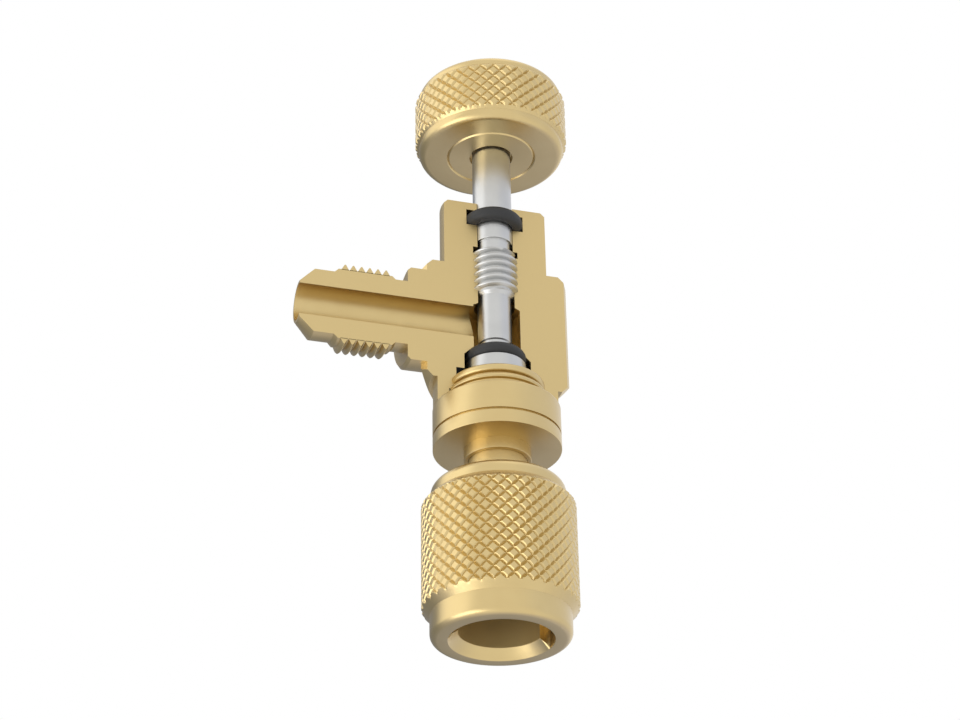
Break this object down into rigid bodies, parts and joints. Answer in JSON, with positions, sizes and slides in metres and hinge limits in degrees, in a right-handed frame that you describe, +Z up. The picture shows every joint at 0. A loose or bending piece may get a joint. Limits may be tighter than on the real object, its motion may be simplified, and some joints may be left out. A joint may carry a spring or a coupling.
{
  "type": "refrigerant service valve",
  "caption": "Brass service valve cut open along its stem: a knurled knob screws a sealing plunger off its seat between a side flare port and a swivel coupler below.",
  "frame": {"origin": "on the stem's axis, in the plane of the swivel coupler's mouth", "axes": "+Z up along the stem to the knob, -X out of the side port, -Y out of the cut face"},
  "size_m": [0.0338, 0.019, 0.0749],
  "materials": {
    "body_brass": "satin",
    "plug_brass": "satin",
    "tube_brass": "satin",
    "coupler_brass": "satin",
    "knob_brass": "satin",
    "stem_steel": "satin",
    "pin_steel": "satin",
    "screw_steel": "satin",
    "seal_rubber": "matte",
    "gasket_rubber": "matte"
  },
  "bodies": {
    "housing": {"valve_body": "body_brass", "stem_o_ring": "seal_rubber", "body_gasket": "gasket_rubber", "end_plug": "plug_brass", "flange_seal": "seal_rubber", "tail_flange": "plug_brass", "tail_tube": "tube_brass", "coupler_gasket": "gasket_rubber"},
    "valve_seal": {"plunger_o_ring": "seal_rubber", "depressor_pin": "pin_steel"},
    "stem": {"stem": "stem_steel", "knob": "knob_brass", "knob_screw": "screw_steel"},
    "coupler": {"coupler_nut": "coupler_brass"}
  },
  "joints": [
    {"name": "stem_feed", "type": "slide", "parent": "housing", "child": "valve_seal", "axis": [0, 0, -1], "range_m": [0, 0.003]},
    {"name": "knob_turn", "type": "hinge", "parent": "valve_seal", "child": "stem", "pos_m": [0, 0, 0.0703], "axis": [0, 0, -1], "range_deg": [0, 1080]},
    {"name": "coupler_spin", "type": "hinge", "parent": "housing", "child": "coupler", "pos_m": [0, 0, 0.0096], "axis": [0, 0, 1], "continuous": true}
  ],
  "couplings": [
    {"joint": "knob_turn", "follows": "stem_feed", "rad_per_m": 6283.2}
  ]
}
